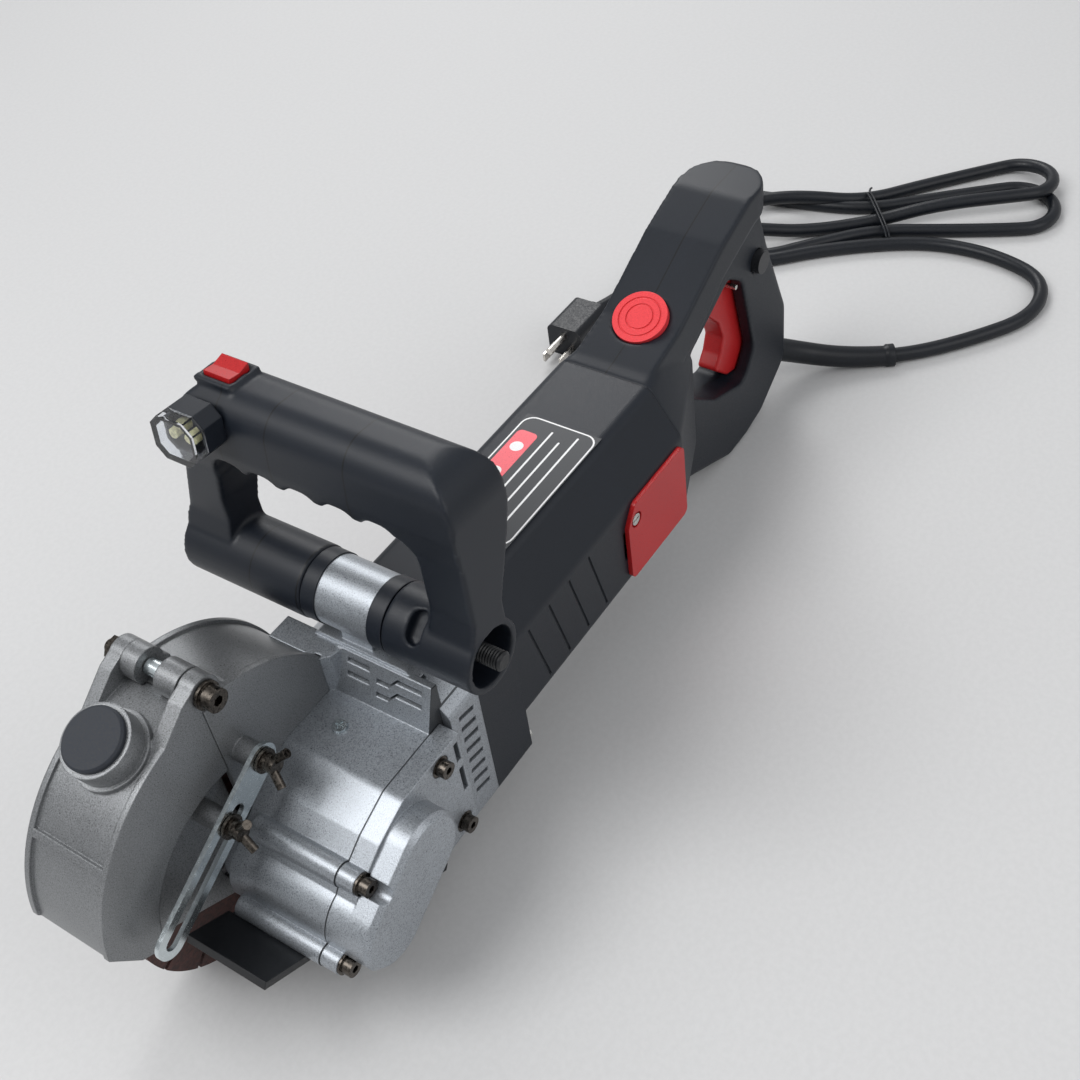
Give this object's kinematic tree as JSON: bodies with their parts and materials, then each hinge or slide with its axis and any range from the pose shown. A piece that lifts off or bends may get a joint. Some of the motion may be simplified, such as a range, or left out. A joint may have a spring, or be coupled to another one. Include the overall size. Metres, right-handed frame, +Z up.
{
  "type": "wall chaser",
  "caption": "Hand-held wall chaser: diamond blades in a hinged round guard, cast gearbox, long motor housing, D-shaped rear handle, tilting front handle with lamp, mains cord.",
  "frame": {"origin": "centre of the tool's footprint box on the surface it stands on, without the cord", "axes": "+X towards the rear handle, +Y towards the operator's right, +Z up"},
  "size_m": [0.8542, 0.2827, 0.2605],
  "materials": {
    "silver_casting": "hammered metallic silver paint",
    "zinc_plate": "bright zinc plating",
    "dark_bolt": "blackened and bronzed steel",
    "bright_screw": "bright steel",
    "black_steel": "black powder coat",
    "rubber_plug": "matt",
    "blade_steel": "dark red painted discs with worn rims",
    "machined_steel": "turned and ground",
    "laminations": "varnished laminations",
    "copper": "copper segments",
    "fan_plastic": "moulded",
    "carbon": "carbon",
    "spring_steel": "spring wire",
    "black_plastic": "fine moulded texture",
    "red_plastic": "satin red",
    "button_black": "satin black",
    "label": "glossy label",
    "clear_lens": "clear moulded lens",
    "led": "lamp diodes",
    "cord_rubber": "satin black cord sheath",
    "plug_metal": "plated blades"
  },
  "bodies": {
    "tool_body": {"base_plate": "black_steel", "base_plate_screws": "bright_screw", "brush_covers": "red_plastic", "brush_holders": "copper", "brush_springs": "spring_steel", "carbon_brushes": "carbon", "clamp_nuts": "dark_bolt", "clamp_stud": "dark_bolt", "cord": "cord_rubber", "cord_hank": "cord_rubber", "cord_sleeve": "cord_rubber", "cord_tie": "cord_rubber", "fixed_guard": "silver_casting", "gear_cover": "silver_casting", "gear_cover_bolts": "dark_bolt", "gear_housing": "silver_casting", "gearbox_bearings": "machined_steel", "handle_cap": "red_plastic", "hinge_bolt": "dark_bolt", "hinge_nut": "dark_bolt", "housing_screws": "bright_screw", "index_rings": "black_plastic", "label_plate": "label", "motor_bearings": "machined_steel", "motor_housing": "black_plastic", "oil_plug_screw": "zinc_plate", "plug_body": "cord_rubber", "plug_lead": "cord_rubber", "plug_pins": "plug_metal", "rear_handle_far": "black_plastic", "rear_handle_near": "black_plastic", "stator": "laminations", "switch_body": "black_plastic", "trigger_pin": "bright_screw"},
    "front_guard": {"front_guard": "silver_casting", "dust_port_plug": "rubber_plug"},
    "guard_wing_bolt": {"guard_wing_bolt": "dark_bolt"},
    "depth_strut": {"depth_strut": "zinc_plate"},
    "strut_wing_bolt": {"strut_wing_bolt": "dark_bolt"},
    "blade_spindle": {"spindle": "machined_steel", "saw_blades": "blade_steel", "blade_spacers": "machined_steel", "blade_flanges": "machined_steel", "spindle_nut": "machined_steel", "spindle_gear": "machined_steel"},
    "intermediate_shaft": {"intermediate_shaft": "machined_steel", "crown_gear": "machined_steel", "intermediate_gear": "machined_steel"},
    "armature": {"armature_shaft": "machined_steel", "armature_core": "laminations", "commutator": "copper", "cooling_fan": "fan_plastic", "motor_pinion": "machined_steel"},
    "aux_handle": {"aux_handle": "black_plastic", "lamp_housing": "black_plastic", "lamp_lens": "clear_lens", "lamp_leds": "led"},
    "lamp_rocker": {"lamp_rocker": "red_plastic"},
    "trigger": {"trigger": "red_plastic"},
    "lock_button": {"lock_button": "button_black"}
  },
  "joints": [
    {"name": "blade_spin", "type": "hinge", "parent": "tool_body", "child": "blade_spindle", "pos_m": [-0.19356, 0.028, 0.0665], "axis": [0, 1, 0], "continuous": true},
    {"name": "intermediate_spin", "type": "hinge", "parent": "tool_body", "child": "intermediate_shaft", "pos_m": [-0.16456, -0.032, 0.0845], "axis": [0, 1, 0], "continuous": true},
    {"name": "armature_spin", "type": "hinge", "parent": "tool_body", "child": "armature", "pos_m": [0.00444, -0.013, 0.0845], "axis": [1, 0, 0], "continuous": true},
    {"name": "guard_hinge", "type": "hinge", "parent": "tool_body", "child": "front_guard", "pos_m": [-0.18756, 0.028, 0.1765], "axis": [0, 1, 0], "range_deg": [0, 30]},
    {"name": "strut_swing", "type": "hinge", "parent": "tool_body", "child": "depth_strut", "pos_m": [-0.18156, -0.0084, 0.1315], "axis": [0, 1, 0], "range_deg": [0, 34.5]},
    {"name": "strut_bolt_turn", "type": "hinge", "parent": "tool_body", "child": "strut_wing_bolt", "pos_m": [-0.18156, -0.012, 0.1315], "axis": [0, 1, 0], "continuous": true},
    {"name": "guard_bolt_turn", "type": "hinge", "parent": "front_guard", "child": "guard_wing_bolt", "pos_m": [-0.20906, -0.012, 0.1171], "axis": [0, 1, 0], "continuous": true},
    {"name": "aux_handle_tilt", "type": "hinge", "parent": "tool_body", "child": "aux_handle", "pos_m": [-0.10156, -0.009, 0.1555], "axis": [0, 1, 0], "range_deg": [-40, 60]},
    {"name": "lamp_rocker_tip", "type": "hinge", "parent": "aux_handle", "child": "lamp_rocker", "pos_m": [-0.08943, 0.05, 0.25628], "axis": [0, 1, 0], "range_deg": [0, 8]},
    {"name": "trigger_squeeze", "type": "hinge", "parent": "tool_body", "child": "trigger", "pos_m": [0.21644, -0.013, 0.1205], "axis": [0, -1, 0], "range_deg": [0, 8], "stiffness_Nm_per_rad": 0.6, "springref_deg": -20.05},
    {"name": "lock_button_push", "type": "slide", "parent": "tool_body", "child": "lock_button", "axis": [0, 1, 0], "range_m": [0, 0.0025], "stiffness_N_per_m": 300, "springref_m": -0.004}
  ],
  "couplings": [
    {"joint": "intermediate_spin", "follows": "blade_spin", "ratio": -0.88889},
    {"joint": "armature_spin", "follows": "blade_spin", "ratio": -2.2716},
    {"joint": "strut_swing", "follows": "guard_hinge", "ratio": 1.15}
  ]
}
